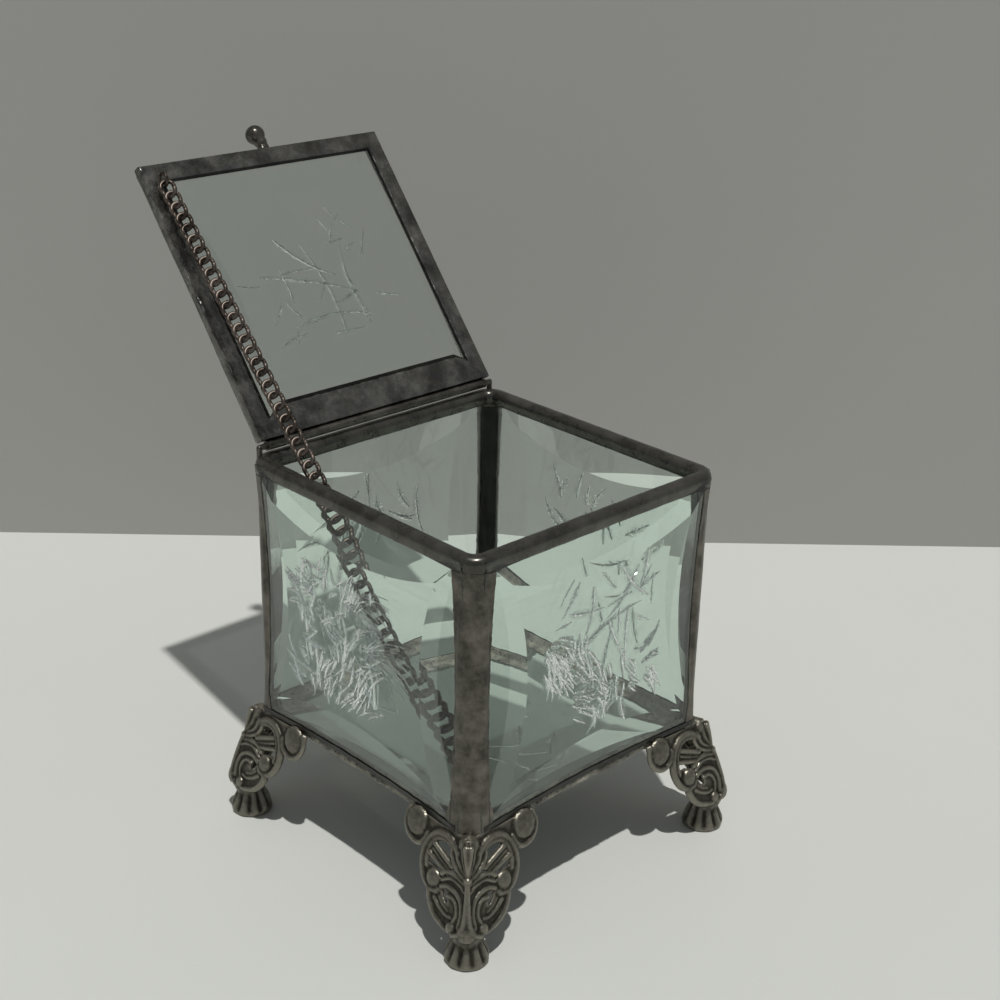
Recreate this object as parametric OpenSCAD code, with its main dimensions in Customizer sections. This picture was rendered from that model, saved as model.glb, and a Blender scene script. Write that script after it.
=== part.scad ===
// Square casket box of star-bevelled glass panes, joined with foil and dark solder.
// It stands on four cast filigree feet; the hinged lid is held open by a curb chain.
// Origin: centre of the floor pane's inside face. +Z up, front wall at -Y, hinge at +Y.
// The lid is drawn in its open resting place.

/* [Glass panes] */
// side of a square pane, and width of a wall pane
pane_side = 76.2; // [70:0.1:84]
// height of a wall pane
wall_h = 70; // [64:0.5:76]
// full thickness of the glass, inside the star
glass_t = 4.6; // [4.2:0.1:5.2]
// thickness left at the middle of a ground edge
edge_t = 2.2; // [2:0.1:2.6]
// width of the bevel at the middle of an edge
bevel_w = 13; // [11:0.5:15]
// how much narrower the bevel is at a corner
bevel_sag = 9; // [7:0.5:10]

/* [Foil and solder] */
// space left between the edges of two panes
joint_gap = 0.2; // [0.15:0.05:0.3]
// thickness of foil and solder on the outer faces
skin_out = 0.35; // [0.25:0.05:0.4]
// thickness of foil on the inner faces
skin_in = 0.15; // [0.1:0.05:0.2]
// width of the foil bands along a joint
foil_w = 4.4; // [3.6:0.1:5]
// radius of the round solder bead in an upright corner
bead_r = 4.2; // [4:0.05:4.4]
// height of the rounded solder rail along the top of a wall
rail_h = 4.3; // [4:0.1:4.6]
// width of that rail
rail_w = 4.5; // [4.3:0.1:4.7]

/* [Lid and hinge] */
// angle between the closed and the open lid, in degrees
lid_open = 129.35; // [100:0.05:135]
// radius of the hinge rod
rod_r = 0.75; // [0.6:0.05:0.8]
// outer radius of the hinge tube
tube_r = 1.2; // [1.15:0.05:1.3]
// height of the hinge axis over the rails
axis_rise = 1.8; // [1.7:0.05:2]
// width of the foil border on the lid's underside
border_in = 5; // [4:0.1:6]
// width of the foil border on the lid's bevelled side
border_out = 3.6; // [3:0.1:4.5]
// solder built up beyond the lid pane's edge
border_rim = 0.9; // [0.6:0.05:0.9]
// radius of the knob's end ball
knob_r = 3.1; // [2.4:0.1:3.4]

/* [Feet] */
// height of the floor pane's inside face over the soles
foot_h = 32.4; // [31:0.1:34]
// outward lean of the two wings of a foot, in degrees
wing_lean = 15; // [13:0.5:16]
// thickness of a wing
wing_t = 1.2; // [1:0.1:1.5]
// radius of the toe at its widest
toe_r = 6.2; // [5.6:0.1:6.4]

/* [Chain] */
// wire of a chain link
link_wire = 1.1; // [1:0.01:1.15]
// radius of a link's round end, to the middle of the wire
link_r = 1.75; // [1.7:0.01:1.8]
// twist of a link's ends out of the flat, in degrees
link_twist = 34; // [30:1:38]
// radius of an eye, to the middle of its wire
eye_r = 1.7; // [1.65:0.01:1.75]
// wire of an eye
eye_wire = 0.9; // [0.8:0.05:0.9]
// links in the run that starts at the box
links_lower = 18; // [17:1:18]
// links in the middle run
links_middle = 16; // [15:1:16]
// links in the run that hangs from the lid
links_upper = 15; // [14:1:15]

/* [Hidden] */
$fn = 48;
big = 300;
root2 = sqrt(2);
inner_half = pane_side / 2 + joint_gap;
wall_z = joint_gap;
wall_top = wall_z + wall_h;
rail_z = wall_top - 3;
rail_top = rail_z + rail_h;
rail_in = inner_half - 0.6;
rail_out = rail_in + rail_w;
bevel_slope = (glass_t - edge_t) / bevel_w;
hinge_y = inner_half + 1.5;
hinge_z = rail_top + axis_rise;
lid_z = rail_top + 0.1;
lid_skin = 0.3;
lid_mid_y = hinge_y - pane_side / 2 - 2.1;
lid_half = pane_side / 2 + border_rim;
seat_y = inner_half + 2.7;
chamfer_d = (inner_half + 2.1) * root2;
leg_x = pane_side / 2 + 1.3;
fillet_sum = 2 * inner_half - 2.6;
chain_x = 3.1 - inner_half;
eye_y = 3.1 - inner_half;
eye_z = 10;
lid_eye_y = 4.7 - inner_half;
lid_eye_z = lid_z - 2.4;
run_gap = 0.3;
link_play = 0.08;
tube_len = pane_side - 1.6;

// One ground bevel along the edge at -Y: a cone takes the glass away, so the
// bevel is widest at the middle and its inner boundary is an arc.
module edge_grind(w, h, lift) {
  depth = bevel_slope * bevel_w + 1;
  arc_r = (w * w / 4 + bevel_sag * bevel_sag) / (2 * bevel_sag);
  translate([0, -h / 2 - arc_r + bevel_w, glass_t + lift - depth])
    cylinder(h = depth + 1, r1 = arc_r - depth / bevel_slope, r2 = arc_r + 1 / bevel_slope);
}

// A pane lying flat, inside face at z = 0 and star face up. The three skins
// let the same shape be grown outward, sideways and inward for foil.
module pane(w, h, skin_up, skin_side, skin_down) {
  difference() {
    translate([-w / 2 - skin_side, -h / 2 - skin_side, -skin_down])
      cube([w + 2 * skin_side, h + 2 * skin_side, glass_t + skin_up + skin_down]);
    edge_grind(w, h, skin_up);
    rotate([0, 0, 180])
      edge_grind(w, h, skin_up);
    rotate([0, 0, 90])
      edge_grind(h, w, skin_up);
    rotate([0, 0, -90])
      edge_grind(h, w, skin_up);
  }
}

// The wall pane at +Y, standing, star face outward.
module wall(skin_up, skin_side, skin_down) {
  translate([0, inner_half, wall_z + wall_h / 2])
    rotate([-90, 0, 0])
      pane(pane_side, wall_h, skin_up, skin_side, skin_down);
}

// The floor pane, star face down.
module floor_glass(skin_up, skin_side, skin_down) {
  rotate([180, 0, 0])
    pane(pane_side, pane_side, skin_up, skin_side, skin_down);
}

module quarter_turn(n) {
  rotate([0, 0, 90 * n])
    children();
}

// The same for each wall: the back wall turned to the side asked for.
module wall_pane(n) {
  color([0.70, 0.80, 0.76, 0.5])
    quarter_turn(n)
      wall(0, 0, 0);
}

module floor_pane() {
  color([0.70, 0.80, 0.76, 0.5])
    floor_glass(0, 0, 0);
}

// Solid run of solder in the upright corner at +X +Y, with the glass still in it.
module corner_solid() {
  bead_c = inner_half - 0.9;
  intersection() {
    union() {
      translate([bead_c, bead_c, 0])
        cylinder(h = rail_z, r = bead_r);
      translate([inner_half, inner_half, 0.6])
        sphere(r = 4.8);
      translate([inner_half - 0.3, inner_half - 0.3, 5])
        sphere(r = 4.1);
    }
    rotate([0, 0, 45])
      translate([fillet_sum / root2, -big / 2, 0])
        cube([big, big, rail_z]);
  }
}

// Foil on the outer and inner faces of the wall at +Y, beside the corner at +X.
module corner_foil() {
  intersection() {
    union() {
      wall(skin_out, 0, 0);
      wall(0, 0, skin_in);
    }
    translate([pane_side / 2 - foil_w, 0, wall_z])
      cube([foil_w, big, rail_z - wall_z]);
  }
}

module corner_seam(n, has_leg) {
  color([0.27, 0.26, 0.22])
    quarter_turn(n)
      difference() {
        union() {
          corner_solid();
          corner_foil();
          mirror([1, -1, 0])
            corner_foil();
        }
        wall(0, 0, 0);
        quarter_turn(-1)
          wall(0, 0, 0);
        if (has_leg == 1)
          leg_bore(1);
        if (has_leg == 2)
          leg_bore(-1);
      }
}

// Bore for a bent-down leg of the hinge rod. side is 1 where the corner has the
// rod along its +X side before the quarter turn, and -1 along its +Y side.
module leg_bore(side) {
  at = side == 1 ? [leg_x, hinge_y] : [hinge_y, leg_x];
  translate([at[0], at[1], rail_z - 5.2])
    cylinder(h = 30, r = rod_r + 0.04);
}

// Cross-section of the solder rail on the wall at +Y, drawn across the wall.
module rail_solid() {
  mid = (rail_in + rail_out) / 2;
  intersection() {
    union() {
      translate([-big / 2, rail_in, rail_z])
        cube([big, rail_w, rail_h - rail_w / 2]);
      translate([0, mid, rail_top - rail_w / 2])
        rotate([0, 90, 0])
          cylinder(h = big, r = rail_w / 2, center = true);
      intersection() {
        wall(skin_out, 0, 0);
        translate([-big / 2, 0, rail_z])
          cube([big, big, big]);
      }
    }
    mitre_wedge();
    rotate([0, 0, 45])
      translate([-big, -big, 0])
        cube([big + chamfer_d, 2 * big, big]);
    rotate([0, 0, -45])
      translate([-chamfer_d, -big, 0])
        cube([big + chamfer_d, 2 * big, big]);
  }
}

// The wedge of space that belongs to the wall at +Y, between two diagonals.
module mitre_wedge() {
  rotate([0, 0, 45])
    translate([0, 0, -big / 2])
      cube([big, big, big]);
}

module top_rail(n, holes) {
  color([0.25, 0.24, 0.21])
    quarter_turn(n)
      difference() {
        rail_solid();
        wall(0, 0, 0);
        for (at = holes)
          translate([at[0], at[1], 0])
            cylinder(h = big, r = rod_r + 0.04);
      }
}

// Solder along the bottom of the wall at +Y, between wall and floor pane. Its
// outer face is flat, as the seat for the feet.
module base_solid() {
  clear_half = pane_side / 2 - foil_w;
  union() {
    intersection() {
      translate([0, inner_half, -0.1])
        rotate([0, 90, 0])
          cylinder(h = big, r = 3, center = true);
      translate([-big / 2, pane_side / 2, -big])
        cube([big, seat_y - pane_side / 2, 2 * big]);
    }
    intersection() {
      wall(skin_out, joint_gap, 0);
      translate([-clear_half, 0, -1])
        cube([2 * clear_half, big, 3.4]);
    }
    translate([-clear_half, inner_half - skin_in, 0])
      cube([2 * clear_half, 1, foil_w]);
    translate([-big / 2, clear_half, -0.1])
      cube([big, foil_w + joint_gap, skin_in + 0.1]);
    intersection() {
      floor_glass(skin_out, joint_gap, 0);
      translate([-big / 2, clear_half, -big / 2])
        cube([big, big, big]);
    }
  }
}

module base_seam(n) {
  color([0.30, 0.29, 0.25])
    quarter_turn(n)
      difference() {
        intersection() {
          base_solid();
          mitre_wedge();
        }
        wall(0, 0, 0);
        floor_glass(0, 0, 0);
        corner_solid();
        quarter_turn(1)
          corner_solid();
      }
}

// Frame of a wing: u runs along the wall from the corner, h down the wing and
// the third axis into the wing. The wing leans outward by wing_lean.
module on_wing() {
  translate([seat_y + 1.4, seat_y + 1.4, -0.9])
    rotate([90 + wing_lean, 0, 0])
      rotate([0, 0, 180])
        children();
}

// Outline of a wing with its openings: ear, big scroll, lower scroll and neck.
module wing_outline() {
  difference() {
    union() {
      translate([19.3, 5.2])
        circle(r = 4.9);
      translate([23.7, 9])
        circle(r = 1.5);
      intersection() {
        translate([3.3, 14.9])
          circle(r = 14);
        translate([-8, 0])
          square([30, 14.9]);
      }
      translate([12.5, 13.7])
        circle(r = 4.7);
      translate([5.2, 18.8])
        circle(r = 5);
      translate([1.6, 22.5])
        circle(r = 2.7);
      translate([-8, 10])
        square([9.5, 13]);
    }
    arch_opening();
    slot_opening();
    scroll_opening();
  }
}

// Opening under the big scroll's arch.
module arch_opening() {
  intersection() {
    translate([3.3, 14.9])
      circle(r = 12.2);
    polygon([[7.1, 0], [14, 0], [13.4, 3.6], [7.1, 7.4]]);
  }
}

// Slanted slot between the ribs and the scroll's curl.
module slot_opening() {
  polygon([[8.1, 12.5], [8.3, 11.5], [13.2, 8.9], [14, 9.5], [12.6, 10.6], [9.7, 12.6]]);
}

// Opening between the lower scroll and its curl.
module scroll_opening() {
  polygon([[4.4, 17.4], [4.9, 16], [7, 15.1], [7.5, 16.3], [5.8, 17.9]]);
}

// Flat ring, as a raised band that follows a scroll.
module band(c, outer, width, from, to) {
  translate(c)
    difference() {
      circle(r = outer);
      circle(r = outer - width);
      polygon([
        [0, 0], 30 * [cos(to), sin(to)], 40 * [cos(to + 50), sin(to + 50)],
        40 * [cos(from - 100), sin(from - 100)], 40 * [cos(from - 50), sin(from - 50)],
        30 * [cos(from), sin(from)]
      ]);
    }
}

// Straight raised rib between two points.
module rib(a, b, width) {
  run = [b[0] - a[0], b[1] - a[1]];
  translate(a)
    rotate(atan2(run[1], run[0]))
      translate([0, -width / 2])
        square([norm(run), width]);
}

// Raised bands and ribs of a wing: scroll rims, slanted ribs and leaf flutes.
module wing_bands() {
  band([3.3, 14.9], 13.6, 1.1, -90, -12);
  band([5.2, 18.8], 4.6, 1.1, -130, 90);
  rib([7, 8.2], [12.2, 5.1], 0.9);
  rib([7.4, 9.6], [13, 6.5], 0.9);
  rib([7.8, 11], [13.4, 7.9], 0.9);
  rib([0.4, 12.6], [6.6, 9.4], 1.2);
  rib([-1.6, 10.9], [5.4, 2.8], 1.1);
  rib([-1.4, 8.9], [2.6, 1.4], 1.1);
}

// Dome raised on a wing, as wide as cap and standing up by rise.
module wing_dome(c, cap, rise) {
  ball = (cap * cap + rise * rise) / (2 * rise);
  intersection() {
    translate([c[0], c[1], ball - rise])
      sphere(r = ball);
    translate([c[0], c[1], -rise - 1])
      cylinder(h = rise + 1 + wing_t / 2, r = cap - 0.3);
  }
}

// One wing of a foot with its raised work, before the mitre.
module wing() {
  on_wing() {
    linear_extrude(wing_t)
      wing_outline();
    translate([0, 0, -0.5])
      linear_extrude(1)
        wing_bands();
    wing_dome([19.3, 5.2], 4.6, 1.5);
    wing_dome([12.3, 13.9], 3.9, 1.6);
    wing_dome([4.4, 19.6], 2.6, 1.3);
    wing_dome([2, 22.2], 1.9, 1.1);
  }
}

// Ribs of the fan-shaped toe.
module toe_fan() {
  for (k = [-3 : 3])
    rotate([0, 0, 45 + 27 * k])
      translate([toe_r - 2.2, 0, 9])
        rotate([0, 160, 0])
          cylinder(h = 5.4, r = 0.8);
}

// Toe on its sole, open at the back above the sole.
module toe() {
  toe_c = seat_y + 2.3;
  translate([toe_c, toe_c, -foot_h]) {
    cylinder(h = 0.9, r = toe_r + 0.3);
    difference() {
      rotate_extrude()
        polygon([
          [0, 0], [toe_r - 0.3, 0], [toe_r - 0.1, 2.6], [toe_r, 4.5], [toe_r - 0.4, 6],
          [toe_r - 1.2, 7.8], [toe_r - 2, 9.5], [toe_r - 2.4, 10.4], [0, 10.4]
        ]);
      rotate_extrude()
        polygon([
          [0, 2.2], [toe_r - 1.4, 2.2], [toe_r - 1.3, 4.5], [toe_r - 1.7, 6],
          [toe_r - 2.5, 7.6], [0, 8.2]
        ]);
      rotate([0, 0, 45])
        translate([-big - 1.2, -big / 2, 2.2])
          cube([big, big, 5.1]);
    }
    toe_fan();
  }
}

// Cast foot under the corner at +X +Y: two wings, collar, stem, leaf and toe.
module foot(n) {
  corner_d = 2 * (seat_y + 0.75);
  stem_lean = atan2(3.2 * root2, 12);
  color([0.20, 0.18, 0.15])
    quarter_turn(n)
      union() {
        difference() {
          union() {
            intersection() {
              wing();
              mitre_wedge();
            }
            mirror([1, -1, 0])
              intersection() {
                wing();
                mitre_wedge();
              }
            difference() {
              translate([20, 20, -1.8])
                cube([seat_y - 18.4, seat_y - 18.4, 1.8]);
              translate([0, 0, -big / 2])
                cube([seat_y, seat_y, big]);
            }
          }
          rotate([0, 0, 45])
            translate([corner_d / root2, 0, 0])
              rotate([0, -20, 0])
                translate([0, -big / 2, -big])
                  cube([big, big, big + 20]);
          translate([-big / 2, -big / 2, 0])
            cube([big, big, big]);
        }
        translate([seat_y + 1.5, seat_y + 1.5, -9.6])
          rotate([0, 0, 45])
            rotate([0, 180 - stem_lean, 0])
              cylinder(h = 14, r1 = 1.3, r2 = 2.1);
        toe();
      }
}

// Hinge rod along +X over the back wall, its ends bent down into the corners.
module hinge_rod() {
  color([0.30, 0.28, 0.24])
    union() {
      translate([0, hinge_y, hinge_z])
        rotate([0, 90, 0])
          cylinder(h = 2 * leg_x, r = rod_r, center = true);
      for (side = [-1, 1]) {
        translate([side * leg_x, hinge_y, hinge_z])
          sphere(r = rod_r);
        translate([side * leg_x, hinge_y, rail_z - 5])
          cylinder(h = hinge_z - rail_z + 5, r = rod_r);
      }
    }
}

// Puts what is drawn for the closed lid in the lid's open place.
module opened() {
  translate([0, hinge_y, hinge_z])
    rotate([-lid_open, 0, 0])
      translate([0, -hinge_y, -hinge_z])
        children();
}

module hinge_tube() {
  color([0.33, 0.31, 0.27])
    opened()
      translate([0, hinge_y, hinge_z])
        rotate([0, 90, 0])
          difference() {
            cylinder(h = tube_len, r = tube_r, center = true);
            cylinder(h = big, r = rod_r + 0.08, center = true);
          }
}

// Puts what is drawn round the pane's middle, inside face down, in its place.
module on_lid() {
  opened()
    translate([0, lid_mid_y, lid_z + lid_skin])
      children();
}

module lid_pane() {
  color([0.66, 0.74, 0.70, 0.5])
    on_lid()
      pane(pane_side, pane_side, 0, 0, 0);
}

// Mitred strip along the edge at +Y, reaching width over the glass.
module lid_strip(width) {
  inner = pane_side / 2 - width;
  translate([0, 0, -big / 2])
    linear_extrude(big)
      polygon([[-inner, inner], [inner, inner], [lid_half, lid_half], [-lid_half, lid_half]]);
}

// Solder and foil border of one side of the lid, mitred at the corners. The one
// beside the hinge has a lip that is hollowed for the hinge tube.
module lid_border(n) {
  color([0.31, 0.30, 0.26]) {
    on_lid()
      quarter_turn(n)
        difference() {
          union() {
            intersection() {
              pane(pane_side, pane_side, skin_out, border_rim, 0);
              lid_strip(border_out);
            }
            intersection() {
              pane(pane_side, pane_side, 0, border_rim, lid_skin);
              lid_strip(border_in);
            }
          }
          pane(pane_side, pane_side, 0, 0, 0);
        }
    if (n == 0)
      opened()
        tube_lip();
  }
}

// Lip along the lid's back edge that cradles the hinge tube.
module tube_lip() {
  lip_y = lid_mid_y + pane_side / 2 + 0.5;
  difference() {
    translate([-tube_len / 2, lip_y, lid_z])
      cube([tube_len, hinge_y - lip_y, 2.2]);
    translate([0, hinge_y, hinge_z])
      rotate([0, 90, 0])
        cylinder(h = big, r = tube_r + 0.02, center = true);
  }
}

// Two-ball knob standing out of the middle of the lid's free edge.
module lid_knob() {
  edge_y = lid_mid_y - lid_half;
  knob_x = 1;
  color([0.36, 0.33, 0.28])
    opened()
      translate([knob_x, edge_y, lid_z + lid_skin + edge_t / 2])
        rotate([90, 0, 0])
          union() {
            cylinder(h = 0.8, r = 1.3);
            translate([0, 0, 1.55])
              sphere(r = 1.5);
            cylinder(h = 4, r = 1);
            translate([0, 0, 2.1 + knob_r * 0.8])
              sphere(r = knob_r);
          }
}

// Ring of an eye, standing in the plane that the chain swings in.
module eye_ring() {
  rotate([0, 90, 0])
    rotate_extrude()
      translate([eye_r, 0])
        circle(r = eye_wire / 2);
}

// Eye low in the front left corner, its stem running into the corner solder.
module box_chain_eye() {
  color([0.24, 0.20, 0.17])
    union() {
      translate([chain_x, eye_y, eye_z])
        eye_ring();
      intersection() {
        translate([chain_x, eye_y - eye_r, eye_z])
          rotate([0, 0, 188])
            rotate([0, 90, 0])
              cylinder(h = 3, r = eye_wire / 2);
        rotate([0, 0, 45])
          translate([-fillet_sum / root2, -big / 2, 0])
            cube([big, big, big]);
      }
    }
}

// Eye under the lid's border, near the front left corner.
module lid_chain_eye() {
  color([0.24, 0.20, 0.17])
    opened()
      union() {
        translate([chain_x, lid_eye_y, lid_eye_z])
          eye_ring();
        translate([chain_x, lid_eye_y, lid_eye_z + eye_r])
          cylinder(h = lid_z - lid_eye_z - eye_r, r = eye_wire / 2);
      }
}

// Place of the lid's eye with the lid open, and the line the taut chain takes.
eye_rel = [lid_eye_y - hinge_y, lid_eye_z - hinge_z];
lid_eye_open = [
  hinge_y + eye_rel[0] * cos(lid_open) + eye_rel[1] * sin(lid_open),
  hinge_z - eye_rel[0] * sin(lid_open) + eye_rel[1] * cos(lid_open)
];
taut = [lid_eye_open[0] - eye_y, lid_eye_open[1] - eye_z];
taut_len = norm(taut);
taut_angle = atan2(taut[1], taut[0]);
link_total = links_lower + links_middle + links_upper;
first_end = eye_r - (eye_wire + link_wire) / 2 - 0.1;
middle_gap = link_wire + run_gap;
upper_gap = link_wire + 2 * run_gap;
link_slack = link_wire + link_play;
// Pitch that fills the taut length, and half the straight part of a link that fits it.
pitch = (taut_len - 2 * first_end - middle_gap - upper_gap - 3 * link_slack) / link_total;
link_half = (pitch + link_slack) / 2 - link_r;
end_span = 2 * link_r + 2 * link_half;
lower_start = first_end;
middle_start = lower_start + (links_lower - 1) * pitch + end_span + middle_gap;
upper_start = middle_start + (links_middle - 1) * pitch + end_span + upper_gap;

// Curb link along +X: two round ends twisted against each other, joined by two
// side wires. A small ball covers each place where an end and a side wire meet.
module curb_link() {
  for (way = [-1, 1]) {
    translate([way * link_half, 0, 0])
      rotate([way * link_twist, 0, 0])
        rotate([0, 0, way == 1 ? -90 : 90])
          rotate_extrude(angle = 180)
            translate([link_r, 0])
              circle(r = link_wire / 2);
    side_wire(way);
  }
}

// Skew wire on one side of a link.
module side_wire(way) {
  across = link_r * cos(link_twist);
  rise = link_r * sin(link_twist);
  translate([-link_half, way * across, -way * rise])
    rotate([0, -atan2(way * rise, link_half), 0])
      rotate([0, 90, 0])
        cylinder(h = 2 * norm([link_half, rise]), r = link_wire / 2);
  for (s = [-1, 1])
    translate([s * link_half, way * across, s * way * rise])
      sphere(r = link_wire / 2 + 0.04);
}

// A run of interlocked links along the taut line, starting s from the box eye.
// The flat of the links lies across the swing, with their width along X.
module chain_run(s, count) {
  color([0.22, 0.17, 0.15])
    translate([chain_x, eye_y, eye_z])
      rotate([taut_angle, 0, 0])
        rotate([0, 0, 90])
          for (i = [0 : count - 1])
            translate([s + end_span / 2 + i * pitch, 0, 0])
              curb_link();
}

wall_pane(2);  // front_pane
wall_pane(3);  // right_pane
wall_pane(0);  // back_pane
wall_pane(1);  // left_pane
floor_pane();
lid_pane();
corner_seam(2, 0);  // corner_seam_front_left
corner_seam(3, 0);  // corner_seam_front_right
corner_seam(0, 1);  // corner_seam_back_right
corner_seam(1, 2);  // corner_seam_back_left
top_rail(2, []);  // top_rail_front
top_rail(3, [[-hinge_y, leg_x]]);  // top_rail_right
top_rail(0, [[-leg_x, hinge_y], [leg_x, hinge_y]]);  // top_rail_back
top_rail(1, [[hinge_y, leg_x]]);  // top_rail_left
base_seam(2);  // base_seam_front
base_seam(3);  // base_seam_right
base_seam(0);  // base_seam_back
base_seam(1);  // base_seam_left
foot(2);  // foot_front_left
foot(3);  // foot_front_right
foot(0);  // foot_back_right
foot(1);  // foot_back_left
hinge_rod();
hinge_tube();
lid_border(2);  // lid_border_front
lid_border(3);  // lid_border_right
lid_border(0);  // lid_border_back
lid_border(1);  // lid_border_left
lid_knob();
box_chain_eye();
lid_chain_eye();
chain_run(lower_start, links_lower);  // chain_lower
chain_run(middle_start, links_middle);  // chain_middle
chain_run(upper_start, links_upper);  // chain_upper
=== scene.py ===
import math
import random
import bpy
import bmesh
import numpy as np
from mathutils import Matrix, Vector, noise


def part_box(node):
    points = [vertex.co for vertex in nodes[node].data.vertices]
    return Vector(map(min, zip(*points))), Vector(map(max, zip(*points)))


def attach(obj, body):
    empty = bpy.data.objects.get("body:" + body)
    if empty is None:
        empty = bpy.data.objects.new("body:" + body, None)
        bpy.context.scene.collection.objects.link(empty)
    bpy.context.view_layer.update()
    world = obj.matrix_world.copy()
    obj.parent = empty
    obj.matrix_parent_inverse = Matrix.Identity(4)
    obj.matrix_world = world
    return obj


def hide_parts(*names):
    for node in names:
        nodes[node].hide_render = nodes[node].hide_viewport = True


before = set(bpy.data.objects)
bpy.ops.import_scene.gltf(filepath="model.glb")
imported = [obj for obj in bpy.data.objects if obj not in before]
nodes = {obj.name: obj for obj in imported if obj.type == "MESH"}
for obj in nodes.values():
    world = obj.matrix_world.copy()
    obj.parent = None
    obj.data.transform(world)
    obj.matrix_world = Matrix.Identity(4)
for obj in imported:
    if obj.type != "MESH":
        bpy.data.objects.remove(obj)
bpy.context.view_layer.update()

MM = 0.001

# ---------------------------------------------------------------------------
# Room: a pale table top, a plain grey wall behind it and one low window light.
# The camera stands where the photograph was taken from, to the left and above.
unit = 78 * MM
lift = 1.6 * MM
azimuth, elevation, roll, pan, tilt = (math.radians(a) for a in (-43.36, 25.63, 1.04, 0.64, -2.49))
toward = Vector((math.sin(azimuth) * math.cos(elevation),
                 -math.cos(azimuth) * math.cos(elevation), math.sin(elevation)))
eye = Vector((0, 0, 0.5)) + toward * 5.5704
ahead = (Vector((0, 0, 0.5)) - eye).normalized()
right = ahead.cross(Vector((0, 0, 1))).normalized()
up = right.cross(ahead)
right, up = (math.cos(roll) * right + math.sin(roll) * up,
             -math.sin(roll) * right + math.cos(roll) * up)
look = Matrix((right, up, -ahead))
look = Matrix.Rotation(tilt, 3, "X") @ Matrix.Rotation(pan, 3, "Y") @ look
camera_data = bpy.data.cameras.new("camera")
camera_data.sensor_width = 36
camera_data.lens = 36 * 1.6909
camera_data.clip_start = 0.01
camera = bpy.data.objects.new("camera", camera_data)
bpy.context.collection.objects.link(camera)
camera.matrix_world = Matrix.Translation(eye * unit + Vector((0, 0, lift))) @ look.transposed().to_4x4()
bpy.context.scene.camera = camera


def stage_material(name, colour, rough, mottle):
    """A plain painted room surface that can be looked through from its back."""
    mat = bpy.data.materials.new(name)
    mat.use_nodes = True
    tree = mat.node_tree
    shader = tree.nodes["Principled BSDF"]
    shader.inputs["Base Color"].default_value = (*colour, 1)
    shader.inputs["Roughness"].default_value = rough
    shader.inputs["Specular IOR Level"].default_value = 0.3
    coords = tree.nodes.new("ShaderNodeTexCoord")
    cloud = tree.nodes.new("ShaderNodeTexNoise")
    cloud.inputs["Scale"].default_value = 9
    tint = tree.nodes.new("ShaderNodeMix")
    tint.data_type = "RGBA"
    tint.inputs["A"].default_value = (*[c * (1 - mottle) for c in colour], 1)
    tint.inputs["B"].default_value = (*[c * (1 + mottle) for c in colour], 1)
    tree.links.new(coords.outputs["Object"], cloud.inputs["Vector"])
    tree.links.new(cloud.outputs["Fac"], tint.inputs["Factor"])
    tree.links.new(tint.outputs["Result"], shader.inputs["Base Color"])
    side = tree.nodes.new("ShaderNodeNewGeometry")
    clear_back = tree.nodes.new("ShaderNodeMixShader")
    tree.links.new(side.outputs["Backfacing"], clear_back.inputs["Fac"])
    tree.links.new(shader.outputs["BSDF"], clear_back.inputs[1])
    tree.links.new(tree.nodes.new("ShaderNodeBsdfTransparent").outputs["BSDF"], clear_back.inputs[2])
    tree.links.new(clear_back.outputs["Shader"], tree.nodes["Material Output"].inputs["Surface"])
    return mat


def stage_plane(name, corners, mat):
    mesh = bpy.data.meshes.new(name)
    mesh.from_pydata([Vector(c) * MM for c in corners], [], [(0, 1, 2, 3)])
    mesh.materials.append(mat)
    obj = bpy.data.objects.new(name, mesh)
    bpy.context.collection.objects.link(obj)
    return obj


table_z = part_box("foot_front_left")[0].z / MM
# The wall stands square to the camera, some way behind the box.
flat_ahead = Vector((ahead.x, ahead.y, 0)).normalized()
flat_right = Vector((right.x, right.y, 0)).normalized()
wall_foot = flat_ahead * 181.5
span = flat_right * 1600
stage_plane("table", [(-1700, -1700, table_z), (1700, -1700, table_z), (1700, 1700, table_z),
                      (-1700, 1700, table_z)],
            stage_material("table_paint", (0.62, 0.63, 0.60), 0.45, 0.02))
stage_plane("wall", [wall_foot - span + Vector((0, 0, table_z)), wall_foot + span + Vector((0, 0, table_z)),
                     wall_foot + span + Vector((0, 0, 900)), wall_foot - span + Vector((0, 0, 900))],
            stage_material("wall_paint", (0.39, 0.385, 0.365), 0.8, 0.02))

world = bpy.data.worlds.new("room")
world.use_nodes = True
world.node_tree.nodes["Background"].inputs["Color"].default_value = (0.90, 0.95, 1.0, 1)
world.node_tree.nodes["Background"].inputs["Strength"].default_value = 0.25
bpy.context.scene.world = world
sun = bpy.data.lights.new("window_sun", "SUN")
sun.energy = 2.5
sun.angle = math.radians(1.2)
sun.color = (1.0, 0.99, 0.96)
sun.cycles.use_multiple_importance_sampling = False
sun_obj = bpy.data.objects.new("window_sun", sun)
bpy.context.collection.objects.link(sun_obj)
sun_obj.matrix_world = Vector((-27.7, -46.8, 167.4)).to_track_quat("Z", "Y").to_matrix().to_4x4()

# ---------------------------------------------------------------------------
# Six bevelled panes of pale green glass, about 4.6 mm thick. The broad bevels are
# ground on a wheel and leave a four-pointed star flat; hot glue, dried on the
# flat, has torn shallow feathers of glass out of it.
pane_side, wall_h, wall_z, glass_t = 76.2, 70.0, 0.2, 4.6
bevel_w, bevel_sag, bevel_slope = 13.0, 9.0, 2.4 / 13.0
inner_half = 38.3
hinge_y, hinge_z, lid_open = 39.8, 73.3, math.radians(129.35)


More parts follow.
